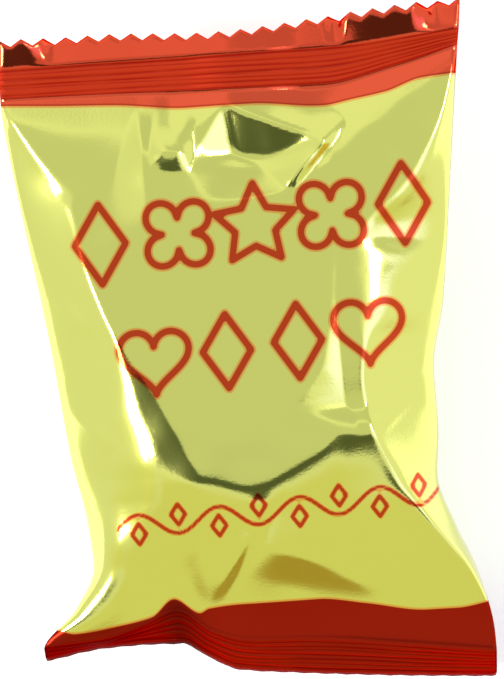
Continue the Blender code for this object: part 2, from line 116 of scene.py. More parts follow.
# How far the top seal's cut curls up over its band
TOP_CURL = ((-33, 0.9), (-29.5, 1.2), (-27, 0.2), (-25.5, -1.3), (-22, -0.8), (-4, -0.6), (6, -0.6),
            (12.6, -0.5), (14.2, -1.5), (16, 0.6), (20, 1.1), (25, 1.2), (27, 0.0), (28.8, -1.9),
            (31, -0.6), (33, 0.2))
TOP_CUT = ((-33, 43.5), (-18, 43.6), (-3, 42.9), (14, 44.3), (32, 45.8))
END_ROOT = ((-33, -42.2), (-24, -41.6), (-18, -39.9), (-13.2, -38.0), (-8.2, -41.5), (-3, -43.1),
            (6, -43.6), (20, -45.3), (32, -47.0))
END_CUT = ((-33, -44.9), (-24, -43.5), (-13, -43.2), (-9, -45.6), (-5, -47.6), (4, -48.7), (18, -50.1),
           (32, -51.2))
# Height of the end seal's root
END_LEVEL = ((-33, 13.0), (-10, 13.0), (2, 12.2), (14, 10.8), (33, 10.2))
# Crease lines between the faces of the stretched film
LEFT_CREASE = ((-46, -18), (-28, -17), (-20.3, -16.8), (-11.6, -17.9), (-7.4, -18.2), (0.5, -19),
               (4.8, -20.6), (12.1, -22.9), (21.6, -24.9), (28.8, -29.5), (34.3, -32.6), (40, -34))
RIGHT_CREASE = ((-50, 33), (-38, 29), (-26, 21.5), (-13.8, 16.2), (-6.6, 15.2), (-1, 15.9), (2.3, 17.5),
                (4.6, 18.2), (8, 18.3), (11, 17.6), (13.2, 16.4), (14.8, 17.0), (19.2, 22.2), (22.6, 25),
                (29.4, 28.5), (35, 30.3), (42, 32))
END_CREASE = ((-33, -16), (-22, -17.5), (-15.2, -18.2), (-8.6, -19.8), (-3, -21.5), (0, -22.6),
              (4.1, -20.5), (12.1, -17.2), (16, -16.2), (20, -16.8), (24, -18), (33, -21))
# How gently each crease is rounded, in millimetres of height
LEFT_BLEND = ((-46, 0.5), (-38, 0.5), (-31, 1.2), (-28, 3), (-24, 4), (-19, 2.2), (-14, 1.7), (-6, 0.8),
              (0, 0.35), (8, 0.3), (20, 0.3), (22, 0.7), (25, 0.4), (35, 0.3))
RIGHT_BLEND = ((-50, 0.5), (-44, 1.0), (-40, 2.5), (-34, 4), (-22, 4), (-16, 1.0), (-13, 0.4), (-8, 0.3),
               (-2, 0.4), (3, 2.2), (9, 2.8), (12.5, 1.2), (14.5, 0.4), (18, 0.8), (24, 0.7), (30, 0.3),
               (35, 0.2))
END_BLEND = ((-33, 2), (-26, 3), (-20, 4), (-14, 0.8), (-9, 0.3), (0, 0.3), (10, 0.4), (16, 0.6), (22, 1.2),
             (33, 1.5))

# The corner of the panel that bends down: its inner edge on the left, and along the end
CORNER_EDGE = ((-40, -8), (-24, -8), (-19.1, -8.5), (-16.4, -9.8), (-10.6, -12.3), (-1.5, -17.2), (4, -22),
               (12, -32), (36, -50))
END_EDGE = ((-20, -19.5), (-9, -19.4), (-7.2, -19.6), (-2.3, -20.8), (0, -20.5), (4.2, -18.7), (8.6, -16.4),
            (12.4, -13.6), (16, -12.9), (20, -18), (24, -25), (33, -36))
CORNER_SLOPE = 0.18
CORNER_PULL = (0.9, 0.95)        # weights of the distances past its left edge and past its end edge
CORNER_BLENDS = (1.0, 0.4)       # roundness where the two edges meet, and of the bend
# The channel on the right: its left edge, how far the film steps down there, and over what width
CHANNEL_EDGE = ((-20, 16), (-12.2, 13.8), (-9.3, 12.6), (-0.8, 12.2), (4.9, 12.2), (12, 12.8), (20, 13.5))
CHANNEL_DEPTH = ((-20, 0.0), (-15, 0.0), (-12.7, 0.45), (-10, 1.25), (-6, 1.0), (-2, 0.55), (4, 0.2),
                 (12, 0.05), (18, 0.0))
CHANNEL_WIDTH = ((-30, 3.0), (-14, 3.0), (-12, 5.5), (-10, 7.5), (-7.5, 5.5), (-4, 2.8), (2, 1.4),
                 (12, 0.8), (18, 0.8))
CHANNEL_EXPONENT = 1.35

# The film below the top seal: how steeply it leaves the seal, and how gently it meets the panel
TOP_STEEPNESS = ((-33, 0.60), (-18, 0.55), (-12, 0.53), (-9.4, 0.44), (-7, 0.5), (-2, 0.56), (3, 0.50),
                 (10.3, 0.44), (14, 0.50), (18, 0.60), (33, 0.62))
TOP_BLEND = ((-33, 0.4), (-20, 1.5), (-12, 1.5), (-6, 0.4), (12, 0.3), (18, 1.0), (33, 0.5))
TOP_FALL = 0.06          # the panel falls this much more per millimetre towards the top seal
TOP_FALL_START, TOP_FALL_BLEND = 8.0, 10.0
# The dent below the top seal: its crest line on the film above, the edges of its far and near walls, their
# slopes, and the slope and edge that keep it shallow towards the middle of the panel
DENT_CREST = ((-5, 34.8), (-0.9, 32.8), (3, 31.05), (10.3, 28), (12, 26.5), (16, 22), (24, 14))
DENT_FAR_EDGE = ((-8, 19.5), (-0.8, 20.0), (4.7, 20.6), (12.5, 24.6), (19.5, 27.6), (24.5, 32.1), (30, 38))
DENT_NEAR_EDGE = ((17, -6.6), (25.5, -6.6), (27, -6.2), (29, -4.9), (31, -3.6), (33, -2.4), (35, -1.5))
DENT_NEAR_SLOPE = ((20, 0.16), (23.5, 0.18), (26.5, 0.37), (35, 0.37))
DENT_FAR_SLOPE = 0.42
DENT_CREST_SLOPE = 0.12
DENT_LOW_SLOPE = 0.08
DENT_LOW_EDGE = -10.0
DENT_BLENDS = (0.4, 0.5, 1.0)    # roundness of far with low, of near with crest, and of the two pairs
DENT_RIM = 0.15
RIPPLE = 0.035           # height of the faint waves of the film
LEAST_SIDE = 0.3         # least height of a side where it runs out into a seal
LEAST_RUN = 0.5          # least width of a side
FLANK_ROUNDING = 0.22    # roundness of a side's foot, as a share of its height
LOOSE_FADE = (0.5, 4.0)  # folds and waves grow in between these heights over the seals
END_BLEND_FADE, END_BLEND_LEAST = (5.0, -12.0), 0.05     # END_BLEND is full below the second y, least above
# The film above the end seal climbs gently this far, then steeper; the bend there is this round
END_FOOT = 4.5
END_FOOT_BLEND = 3.0
END_CLIMB_X = (-14.0, 16.0)      # beyond these it climbs to the height it reaches there
END_FOOT_SLOPE = ((-33, 0.66), (-24, 0.62), (-17, 0.38), (0, 0.36), (12, 0.3), (33, 0.26))
# Edge of the red print at each end
TOP_PRINT = ((-33, 35.0), (-25, 34.5), (-17, 34.1), (-7, 33.1), (2, 33.1), (12, 32.3), (16, 32.9),
             (21, 33.7), (26, 35.3), (31, 35.7))
END_PRINT = ((-33, -39.4), (-30.1, -39.9), (-28, -40.5), (-21.8, -39.8), (-16.8, -38.8), (-13.5, -36.3),
             (-9.8, -38.6), (-8.6, -38.0), (-3.6, -37.6), (7, -37.6), (14, -38.7), (22.7, -40.2),
             (27, -40.2), (32, -39.4))
FOLD_CREST = 0.08        # roundness of a fold's crest, as a share of its flank
FOLD_BLUNTNESS = 0.8     # below 1, a fold keeps its height nearer to its ends
# Folds: start, end, height, width to the left and to the right of the line, bend, lean, spread, softness
FOLDS = (
    ((-12.6, 27.4), (-6.7, 26.5), 1.5, 8.0, 3.1, 0.2, 1.0, 0.0, 1.15),
    ((-14.2, 32.8), (-12.6, 12.0), 1.15, 14.0, 5.2, 0.0, 0.6, 0.9, 1.6),
    ((14.6, 30.6), (6.0, 21.2), 1.85, 1.2, 12.0, 0.2, 1.0, 0.0, 1.0),
    ((-2.0, -27.2), (-10.4, -39.4), 0.52, 1.3, 4.5, 0.4, 0.8, 0.4, 1.15),
    ((-0.5, -29.3), (16.5, -38.4), 0.82, 10.0, 4.8, 1.2, 0.62, 0.0, 1.75),
    ((-17.0, -38.8), (-11.0, -34.4), 0.6, 3.0, 0.9, 0.3, 1.2, 0.0, 1.15),
    ((17.4, -14.0), (22.0, -10.4), 0.20, 1.2, 0.6, 0.1, 1.0, 0.0, 1.15),
    ((-27.5, 9.0), (-22.5, 2.0), 0.18, 1.5, 2.5, -0.4, 1.0, 0.0, 1.4),
    ((-26.5, -9.0), (-20.5, -14.5), 0.22, 1.6, 3.0, 0.5, 1.0, 0.0, 1.4),
    ((27.0, -3.0), (20.5, -7.0), 0.14, 1.6, 2.6, 0.4, 1.0, 0.0, 1.4),
    ((28.5, 16.0), (22.5, 9.0), 0.16, 1.8, 2.6, 0.5, 1.0, 0.0, 1.4),
)

# ---------------------------------------------------------------- printed ornament
STROKE = 0.49            # half the width of the wide line
THIN_STROKE = 0.27       # half the width of the thin line
HALO = 0.24              # orange margin of a line
NO_LINE = 9.0            # distance given to points that no line is near
CLOVER_WAIST = 0.42      # radius of the clover between its leaves
STAR_WAIST = 0.5         # radius of the star between its tips
# Outlined motifs: kind, middle across and along, half width, half height
MOTIFS = (
    ("diamond", -20.4, 14.6, 3.6, 5.6), ("clover", -9.4, 15.4, 5.4, 5.4), ("star", 1.4, 16.0, 5.9, 5.9),
    ("clover", 12.2, 16.8, 5.4, 5.4), ("diamond", 22.4, 17.8, 3.6, 5.6),
    ("heart", -13.8, -2.2, 4.9, 4.9), ("diamond", -3.6, -1.4, 3.4, 5.2), ("diamond", 6.4, -0.6, 3.4, 5.2),
    ("heart", 16.4, 0.2, 4.9, 4.9),
)
# The thin wave: its ends, pitch and height, its level and climb, and the diamonds in its bends
WAVE_START, WAVE_STOP, WAVE_PITCH, WAVE_HEIGHT = -20.5, 25.1, 11.4, 3.2
WAVE_MIDDLE, WAVE_CLIMB = -24.4, 0.055
WAVE_DIAMOND = 1.5       # half height of a diamond
WAVE_DIAMOND_SHAPE = 0.7     # its width over its height
WAVE_DIAMOND_PLACE = 0.35    # how far it stands off the wave's middle, as a share of the wave's height

# ---------------------------------------------------------------- inks and finish
PRINT_EDGE = 0.06        # half the width over which yellow-green turns red
PALE_LINE = (-0.34, -0.22)       # places past the print's edge where its pale line starts and is full
DARK_LINE = (0.18, 0.34)         # and where its dark line is full and ends
DARK_LINE_SHARE = 0.6
LINE_EDGE = (-0.10, 0.04)        # where a line's red thins out, beside half its width
HALO_EDGE = (0.6, 1.4)           # where its halo thins out, as shares of the halo's width
FILM_ROUGHNESS = 0.12
BAND_ROUGHNESS = 0.20    # how much rougher a crimped band is
GRAIN_SCALE, GRAIN_STRENGTH, GRAIN_DEPTH = 2600.0, 0.35, 0.00003
# Painted shade in the grooves weakens in patches of this scale, down to the least share below.
GROOVE_SHADE_PATCHES = 120.0   # scale of the patches in which the grooves' colour weakens
GROOVE_SHADE_LEAST = 0.45      # and the least that it leaves
# Painted shade: below these the print's red darkens to the end seal's painted-dark red.
END_PAINTED_SHADE_Y = (0.0, -20.0) # below these the print's red on the smooth film grows to the end seal's red
# How much more painted shade darkens that red where the end seal folds: along its left arm, and round its kink
ARM_PAINTED_SHADE, ARM_SHADE_EDGES = 0.35, (-8.0, -14.0)
KINK_PAINTED_SHADE, KINK_SHADE_X, KINK_SHADE_WIDTH = 0.45, -12.5, 3.5

# ---------------------------------------------------------------- room that the film mirrors
# Toned patches of the room, set by trial so that each stretched face of the film mirrors the right tone.
# Each lies over the ones before. First the angles from straight up where a patch starts, is full, is full
# no more and stops, or only the first two if it goes on down; then its compass angle, and how far to each
# side it is full and gone; then its colour.
ROOM_PATCHES = (
    ((26, 31, 56, 64), (48, 36, 50), (0.75, 0.765, 0.75)),
    ((23, 40, 50, 62), (348, 14, 20), (1.45, 1.45, 2.8)),
    ((16, 21, 34, 41), (237, 37, 47), (0.10, 0.115, 0.085)),
    ((17, 22, 38, 44), (268, 42, 53), (0.10, 0.115, 0.085)),
    ((44, 54), (268, 45, 75), (0.85, 0.82, 0.53)),
    ((72, 81), (280, 40, 54), (0.50, 0.33, 0.08)),
    ((77, 83), (320, 8, 16), (0.85, 0.50, 0.11)),
)
CEILING = (0.77, 0.785, 0.765)
RING = (0.95, 0.95, 0.95)
BRIGHT_RING, BRIGHT_SECTOR = (1.05, 1.05, 1.05), (40, 70, 110)
RING_START, RING_FULL = 17.0, 26.0
# Soft boxes: name, compass angle, angle from straight up, size in metres, radiance
SOFT_BOXES = (("left_box", 198, 43, (0.42, 0.32), 34.0), ("right_box", 11, 37, (0.26, 0.20), 20.0))
BOX_DISTANCE = 1.2
FLOOR_COLOUR = (0.8, 0.81, 0.86, 1.0)
FLOOR_GLOW = 0.25
FLOOR_ROUGHNESS = 0.9
FLOOR_SIZE, FLOOR_Z = 3.0, -0.0002
SENSOR_WIDTH = 36.0
PACK_MIDDLE = (0.0004, 0.0025, 0.02)     # the camera stands over this point


# ---------------------------------------------------------------- small formulas
def through(position, points):
    """A cubic between each two points that never swings past them: level at each peak and trough."""
    place, value = np.array(points, dtype=float).T
    chord = np.diff(value) / np.diff(place)
    before, after = chord[:-1], chord[1:]
    both = np.where(before * after > 0.0, before + after, 1.0)
    inner = np.where(before * after > 0.0, 2.0 * before * after / both, 0.0)
    slope = np.concatenate((chord[:1], inner, chord[-1:]))
    i = np.clip(np.searchsorted(place, position) - 1, 0, len(place) - 2)
    span = place[i + 1] - place[i]
    t = np.clip((position - place[i]) / span, 0.0, 1.0)
    ease = t * t * (3.0 - 2.0 * t)
    start_pull = t * (1.0 - t) ** 2 * span * slope[i]
    end_pull = t * t * (1.0 - t) * span * slope[i + 1]
    return value[i] * (1.0 - ease) + value[i + 1] * ease + start_pull - end_pull


def lower_of(a, b, blend):
    """The smaller of two heights, rounded where they are closer than blend."""
    near = np.maximum(blend - np.abs(a - b), 0.0) / blend
    return np.minimum(a, b) - near * near * blend / 4.0


def rise(distance, steepness, roundness):
    """Height of film that leaves an edge upright, bends over within roundness, then runs straight."""
    run = steepness * np.maximum(distance, 0.0)
    return np.sqrt(run * run + 2.0 * roundness * run)


def foot(distance, first, then, at, blend):
    """Height of film that climbs gently, then steeper past a distance, with a rounded bend there."""
    bend = 0.5 * (distance - at + np.hypot(distance - at, blend))
    start = 0.5 * (np.hypot(at, blend) - at)
    return first * distance + (then - first) * (bend - start)


def smooth_step(low, high, value):
    """0 below low, 1 above high, with an S-shaped ramp between."""
    t = np.clip((value - low) / (high - low), 0.0, 1.0)
    return t * t * (3.0 - 2.0 * t)


def hinge(value, blend):
    """0 below zero and the value above it, with a rounded bend."""
    return 0.5 * (value + np.hypot(value, blend))


def fold(x, y, start, end, height, left, right, bend, lean, spread, softness):
    """A tent of film: a bent crest line that swells to one side of its middle, with a flank each side that
    widens by spread towards the line's end."""
    (ax, ay), (bx, by) = start, end
    length = np.hypot(bx - ax, by - ay)
    ux, uy = (bx - ax) / length, (by - ay) / length
    t = np.clip(((x - ax) * ux + (y - ay) * uy) / length, 0.0, 1.0)
    across = (y - ay) * ux - (x - ax) * uy - bend * 4.0 * t * (1.0 - t)
    widen = np.maximum(1.0 + spread * (2.0 * t - 1.0), 0.1)
    q = np.where(across > 0.0, across / left, -across / right) / widen
    q = np.hypot(q, FOLD_CREST) - FOLD_CREST
    crest = height * np.sin(np.pi * t ** lean) ** FOLD_BLUNTNESS
    return crest * np.clip(1.0 - q, 0.0, 1.0) ** softness


def ripple(x, y):
    """Faint waves of the slack film: three crossing sines."""
    first = np.sin(0.9 * x + 0.35 * y + 1.7 * np.sin(0.11 * y))
    second = np.sin(0.42 * x - 0.61 * y + 1.3 * np.sin(0.17 * x + 2.0))
    third = np.sin(0.23 * x + 1.05 * y + 4.0)
    return 0.4 * first + 0.8 * second + 0.4 * third


# ---------------------------------------------------------------- shape of the film
def stations():
    """Places along the film from 0, the end cut, to 5, the top cut: each seal part or body is one unit."""
    strip = np.linspace(0.0, 1.0, STRIP_ROWS + 1)[:-1]
    band = np.linspace(0.0, 1.0, BAND_ROWS + 1)[:-1]
    body = np.linspace(0.0, 1.0, BODY_ROWS + 1)[:-1]
    parts = (strip, 1.0 + band, 2.0 + body, 3.0 + band, 4.0 + strip, [5.0])
    return np.concatenate(parts)


def bounding_lines(x):
    """Place along the pack and height of the cut, band edge and root of the end seal, then of the top seal."""
    root, edge, cut = through(x, TOP_ROOT), through(x, TOP_BAND_EDGE), through(x, TOP_CUT)
    top_root_z = TOP_SEAL_Z - through(x, TOP_SINK)
    top_edge_z = top_root_z + through(x, TOP_RISE)
    top_cut_z = top_edge_z + through(x, TOP_CURL)
    end_root, end_cut = through(x, END_ROOT), through(x, END_CUT)
    end_edge = end_cut + END_TURN
    end_root_z = through(x, END_LEVEL) + KINK_LIFT * np.exp(-((x - KINK_X) / KINK_WIDTH) ** 2)
    end_edge_z = end_root_z - np.sqrt(np.maximum(RIB_BAND ** 2 - (end_root - end_edge) ** 2, 0.0))
    end_cut_z = end_edge_z - np.sqrt(PLAIN_STRIP ** 2 - END_TURN ** 2)
    along = (end_cut, end_edge, end_root, root, edge, cut)
    height = (end_cut_z, end_edge_z, end_root_z, top_root_z, top_edge_z, top_cut_z)
    return np.array(along), np.array(height)


def between(lines, i, share):
    """Value at a share of the way from line i to the next."""
    here = np.take_along_axis(lines, i[None], 0)[0]
    return here + (np.take_along_axis(lines, i[None] + 1, 0)[0] - here) * share


def middle_sheet(station, q):
    """The sheet halfway between the two films, at a station along and a share q across."""
    i = np.clip(np.floor(station), 0, 4).astype(int)
    share = station - i
    in_body = (i == 2)
    gather = SIDE_CROWDING * np.where(in_body, np.sqrt(np.sin(np.pi * np.clip(share, 0.0, 1.0))), 0.0)
    even = 2.0 * q - 1.0
    s = (1.0 - gather) * even + gather * np.sin(0.5 * np.pi * even)
    x = HALF_WIDTH * even
    for _ in range(2):
        y = between(bounding_lines(x)[0], i, share)
        left, right = through(y, LEFT_SIDE), through(y, RIGHT_SIDE)
        x = 0.5 * (left + right) + 0.5 * (right - left) * s
    along, height = bounding_lines(x)
    return x, between(along, i, share), between(height, i, share)


def dent(x, y, crest):
    """Depth of the dent under the top seal: the least of its four sloping walls."""
    far = DENT_FAR_SLOPE * (y - through(x, DENT_FAR_EDGE))
    near = through(y, DENT_NEAR_SLOPE) * (x - through(y, DENT_NEAR_EDGE))
    low = DENT_LOW_SLOPE * (y - DENT_LOW_EDGE)
    far_blend, near_blend, pair_blend = DENT_BLENDS
    depth = lower_of(lower_of(far, low, far_blend), lower_of(near, crest, near_blend), pair_blend)
    return hinge(depth, DENT_RIM)


def panel_height(x, y, level):
    """Height of the front panel over the middle sheet: slightly crowned, falling towards the top seal,
    bent down at its lower left corner and along its end, with a channel on the right."""
    corner = CORNER_PULL[0] * (x - through(y, CORNER_EDGE))
    along_end = CORNER_PULL[1] * (y - through(x, END_EDGE))
    bent = CORNER_SLOPE * hinge(-lower_of(corner, along_end, CORNER_BLENDS[0]), CORNER_BLENDS[1])
    share = np.clip((through(y, CHANNEL_EDGE) - x) / through(y, CHANNEL_WIDTH), 0.0, 1.0)
    channel = through(y, CHANNEL_DEPTH) * (1.0 - share) ** CHANNEL_EXPONENT
    crown = PLATEAU_CROWN * (x - CROWN_LINE) ** 2
    crown = crown + END_CROWN * hinge(-np.maximum(y, END_CREST), 1.0) ** 2
    fall = PLATEAU_TILT * y + TOP_FALL * hinge(y - TOP_FALL_START, TOP_FALL_BLEND)
    return PLATEAU_Z - crown - fall - level - bent - channel


def front_height(x, y, level):
    """Height of the panel with its dent, and of the film that runs from it up to the top seal. The dent's
    far wall falls away from the crest line on that film."""
    steepness, root, crest = through(x, TOP_STEEPNESS), through(x, TOP_ROOT), through(x, DENT_CREST)
    wall = steepness * (root - crest) - DENT_CREST_SLOPE * (crest - y)
    panel = panel_height(x, y, level)
    return lower_of(steepness * (root - y), panel - dent(x, y, panel - wall), through(x, TOP_BLEND))


def flank(share, height):
    """Height of a side that leaves the edge upright and bends over: share 0 at the edge, 1 at the crease."""
    roundness = FLANK_ROUNDING * height
    run = (np.hypot(roundness, height) - roundness) * np.maximum(share, 0.0)
    return np.sqrt(run * run + 2.0 * roundness * run)


def upper_film(x, y, level):
    """Height of the upper film over the middle sheet: the lowest of the stretched faces, then the folds."""
    front = front_height(x, y, level)
    side, crease = through(y, LEFT_SIDE), through(y, LEFT_CREASE)
    share = (x - side) / np.maximum(crease - side, LEAST_RUN)
    left = flank(share, np.maximum(front_height(crease, y, level), LEAST_SIDE))
    side, crease = through(y, RIGHT_SIDE), through(y, RIGHT_CREASE)
    share = (side - x) / np.maximum(side - crease, LEAST_RUN)
    right = flank(share, np.maximum(front_height(crease, y, level), LEAST_SIDE))
    gentle = through(x, END_FOOT_SLOPE)
    root, near_x = through(x, END_ROOT), np.clip(x, *END_CLIMB_X)
    run = through(x, END_CREASE) - root
    climb = front_height(near_x, through(near_x, END_CREASE), level) - gentle * run
    steeper = climb / foot(run, 0.0, 1.0, END_FOOT, END_FOOT_BLEND)
    end = foot(y - root, gentle, gentle + steeper, END_FOOT, END_FOOT_BLEND)
    height = lower_of(front, left, through(y, LEFT_BLEND))
    height = lower_of(height, right, through(y, RIGHT_BLEND))
    sharpened = END_BLEND_LEAST + (1.0 - END_BLEND_LEAST) * smooth_step(*END_BLEND_FADE, y)
    height = lower_of(height, end, through(x, END_BLEND) * sharpened)
    folds = sum(fold(x, y, *row) for row in FOLDS)
    loose = RIPPLE * ripple(x, y) + folds
    return np.maximum(height + loose * smooth_step(*LOOSE_FADE, height), 0.0)


def lower_film(x, y, level):
    """Depth of the lower film under the middle sheet, cut off by the flat base."""
    left = rise(x - through(y, LEFT_SIDE), *UNDER_SIDE)
    right = rise(through(y, RIGHT_SIDE) - x, *UNDER_SIDE)
    top = rise(through(x, TOP_ROOT) - y, *UNDER_TOP)
    end = rise(y - through(x, END_ROOT), *UNDER_END)
    depth = lower_of(lower_of(left, right, UNDER_BLEND), lower_of(top, end, UNDER_BLEND), UNDER_BLEND)
    return lower_of(depth, level - BASE_Z, BASE_ROUNDING)


def rib_profile(share, x, at_top):
    """Height of the crimp across its band: flat ribs parted by narrow grooves that lean and sway along x, the
    same ones along which the material paints shade. They deepen and fade along x, and end short of the band's
    edges."""
    total = np.zeros_like(x)
    for k, (across, lean, width, depth) in enumerate(GROOVES):
        turn = (GROOVE_TURN[0] + GROOVE_TURN[1] * k) * x * MM + GROOVE_START * k
        middle = across + lean * x * MM + GROOVE_SWAY * np.sin(turn)
        fade = (1.0 - GROOVE_FADE) + GROOVE_FADE * np.sin(x / (5.0 + 1.7 * k) + 2.6 * k)
        total -= depth * fade * np.exp(-((share - middle) / width) ** 2)
    inside = smooth_step(0.0, BAND_EDGE, np.minimum(share, 1.0 - share))
    return np.where(at_top, TOP_RIB, END_RIB) * total * inside


def film_surface(side):
    """One film on a grid of stations and shares, side +1 above the middle sheet and -1 below: x, y, z in
    millimetres, then a seal mark (0 in the body, 0.4 in the top strip, 1 in the top band, 2 in the end seal)
    that also picks how much painted shade darkens the red, and the place across the crimped band, 0 at its root
    and 1 at its edge."""
    station, q = np.meshgrid(stations(), np.linspace(0.0, 1.0, COLUMNS + 1), indexing="ij")
    x, y, z = middle_sheet(station, q)
    _, y_back, z_back = middle_sheet(np.maximum(station - SLOPE_STEP, 0.0), q)
    _, y_on, z_on = middle_sheet(np.minimum(station + SLOPE_STEP, 5.0), q)
    dy, dz = y_on - y_back, z_on - z_back
    size = np.hypot(dy, dz)
    in_band = ((station > 1.0) & (station < 2.0)) | ((station > 3.0) & (station < 4.0))
    in_body = (station >= 2.0) & (station <= 3.0)
    band_share = np.where(station < 2.5, 2.0 - station, station - 3.0)
    lift = np.where(in_band, rib_profile(band_share, x, station > 2.5), 0.0)
    from_cut = np.minimum(station, 5.0 - station)
    edge = np.minimum(np.minimum(q, 1.0 - q) * COLUMNS / 2.0, 1.0)
    half = 0.5 * FILM_PAIR * np.sqrt(np.clip(from_cut / THIN_CUT, 0.0, 1.0)) * edge
    gap = upper_film(x, y, z) if side > 0 else lower_film(x, y, z)
    body_z = z + side * np.maximum(gap, half)
    tooth = (np.abs((q * TEETH) % 1.0 - 0.5) - 0.25) * 2.0 * TOOTH_DEPTH
    near_cut = np.clip(1.0 - from_cut / TOOTH_REACH, 0.0, 1.0)
    shift = tooth * near_cut * np.where(station > 2.5, 1.0, -1.0)
    offset = side * half + lift * edge
    seal_y = y + (dy / size) * shift - (dz / size) * offset
    seal_z = z + (dz / size) * shift + (dy / size) * offset
    y = np.where(in_body, y, seal_y)
    z = np.where(in_body, body_z, seal_z)
    weld_and_shade = np.where(in_body, 0.0, np.where(station < 2.5, 2.0, np.where(in_band, 1.0, 0.4)))
    return np.stack((x, y, z, weld_and_shade, band_share), axis=-1)


def grid_faces(rows, columns, first=0):
    """Quads of a grid whose points run across first, facing up for x to the right and rows along y."""
    i = np.arange(rows - 1)[:, None] * columns + np.arange(columns - 1)[None] + first
    return np.stack((i, i + 1, i + columns + 1, i + columns), axis=-1).reshape(-1, 4)


def join_grids(upper, lower):
    """Two grids of rows joined along all four edges: point rows, quads facing out, and a mark for the upper."""
    for edge in (np.s_[0], np.s_[-1], np.s_[:, 0], np.s_[:, -1]):
        lower[edge] = upper[edge]
    rows, columns, width = upper.shape
    count = rows * columns
    points = np.concatenate((upper.reshape(-1, width), lower.reshape(-1, width)))
    faces = np.concatenate((grid_faces(rows, columns), grid_faces(rows, columns, count)[:, ::-1]))
    inner = np.zeros((rows, columns), dtype=bool)
    inner[1:-1, 1:-1] = True
    target = np.arange(2 * count)
    target[count:] = np.where(inner.ravel(), target[count:], target[:count])
    keep = np.unique(target)
    renumber = np.zeros(2 * count, dtype=int)
    renumber[keep] = np.arange(len(keep))
    upper_mark = np.concatenate((np.ones(count), np.zeros(count)))[keep]
    return points[keep], renumber[target[faces]], upper_mark


def motif_corners(kind, steps=60):
    """Corners of a closed outline in a square from -1 to 1: diamond, five-pointed star, four-leaf clover
    (radius swells with the doubled angle), or heart (a circle pulled up at the sides)."""
    turn = np.linspace(0.0, 2.0 * np.pi, steps, endpoint=False)
    if kind == "diamond":
        return np.array(((1.0, 0.0), (0.0, 1.0), (-1.0, 0.0), (0.0, -1.0)))
    if kind == "star":
        tips = np.pi / 2.0 + np.arange(10) * np.pi / 5.0
        radius = np.where(np.arange(10) % 2 == 0, 1.0, STAR_WAIST)
        return np.stack((radius * np.cos(tips), radius * np.sin(tips)), axis=-1)
    if kind == "clover":
        radius = CLOVER_WAIST + (1.0 - CLOVER_WAIST) * np.abs(np.sin(2.0 * turn)) ** 0.7
        return np.stack((radius * np.cos(turn), radius * np.sin(turn)), axis=-1)
    across = np.sin(turn) ** 3
    waves = enumerate((0.81, -0.31, -0.125, -0.06), start=1)
    along = 0.1 + sum(share * np.cos(k * turn) for k, share in waves)
    return np.stack((across, along), axis=-1)


def outline_distance(x, y, corners):
    """Distance from each point to a closed outline."""
    nearest = np.full(x.shape, np.inf)
    for (ax, ay), (bx, by) in zip(corners, np.roll(corners, -1, axis=0)):
        ex, ey = bx - ax, by - ay
        t = np.clip(((x - ax) * ex + (y - ay) * ey) / (ex * ex + ey * ey), 0.0, 1.0)
        nearest = np.minimum(nearest, np.hypot(x - ax - t * ex, y - ay - t * ey))
    return nearest


def ornament_distance(x, y):
    """Distance to the nearest ornament line, scaled so that every line is as wide as the wide one."""
    best = np.full(x.shape, NO_LINE)
    for kind, across, along, half_width, half_height in MOTIFS:
        corners = motif_corners(kind) * (half_width, half_height) + (across, along)
        best = np.minimum(best, outline_distance(x, y, corners))
    thin = STROKE / THIN_STROKE
    phase = 2.0 * np.pi / WAVE_PITCH
    middle = WAVE_MIDDLE + WAVE_CLIMB * x
    angle = phase * (x - WAVE_START)
    slant = 1.0 / np.hypot(1.0, 0.5 * WAVE_HEIGHT * phase * np.cos(angle))
    wave = (y - middle - 0.5 * WAVE_HEIGHT * np.sin(angle)) * slant
    past = np.maximum(WAVE_START - x, x - WAVE_STOP)
    wave = np.where(past > 0.0, np.hypot(wave, past), wave)
    best = np.minimum(best, np.abs(wave * thin))
    for k in range(int(2.0 * (WAVE_STOP - WAVE_START) / WAVE_PITCH)):
        across = WAVE_START + (0.5 * k + 0.25) * WAVE_PITCH
        along = WAVE_MIDDLE + WAVE_CLIMB * across - WAVE_DIAMOND_PLACE * WAVE_HEIGHT * (-1.0) ** k
        half_size = (WAVE_DIAMOND * WAVE_DIAMOND_SHAPE, WAVE_DIAMOND)
        corners = motif_corners("diamond") * half_size + (across, along)
        best = np.minimum(best, outline_distance(x, y, corners) * thin)
    return best


def underside(x, y):
    """Height of the lower film's outside where it is free of the seals."""
    along, height = bounding_lines(x)
    share = (y - along[2]) / (along[3] - along[2])
    level = height[2] + (height[3] - height[2]) * share
    return level - lower_film(x, y, level)


def folded_seal():
    """The back seal folded flat against the underside: two grids of points in millimetres, closed at their
    edges. Fine ribs run along it, and it thins out towards the ends."""
    q, t = np.meshgrid(np.linspace(0.0, 1.0, FLAP_COLUMNS + 1), np.linspace(0.0, 1.0, FLAP_ROWS + 1))
    x = FLAP_X[0] + (FLAP_X[1] - FLAP_X[0]) * q
    y = FLAP_Y[0] + (FLAP_Y[1] - FLAP_Y[0]) * t
    roof = underside(x, y)
    thick = BASE_Z * smooth_step(0.0, FLAP_THINNING, np.minimum(t, 1.0 - t))
    rib = FLAP_RIB * (0.5 - 0.5 * np.cos(2.0 * np.pi * q * FLAP_RIBS))
    upper = np.stack((x, y, roof + FLAP_OVERLAP), axis=-1)
    lower = np.stack((x, y, roof - thick + rib * thick / BASE_Z), axis=-1)
    return join_grids(upper, lower)


def to_frame(points, box):
    """Moves the drawing's millimetres to the frame: middle of the pack's box at the origin, floor at zero."""
    middle = 0.5 * (box.min(axis=0) + box.max(axis=0))
    middle[2] = 0.0
    return (points - middle) * MM


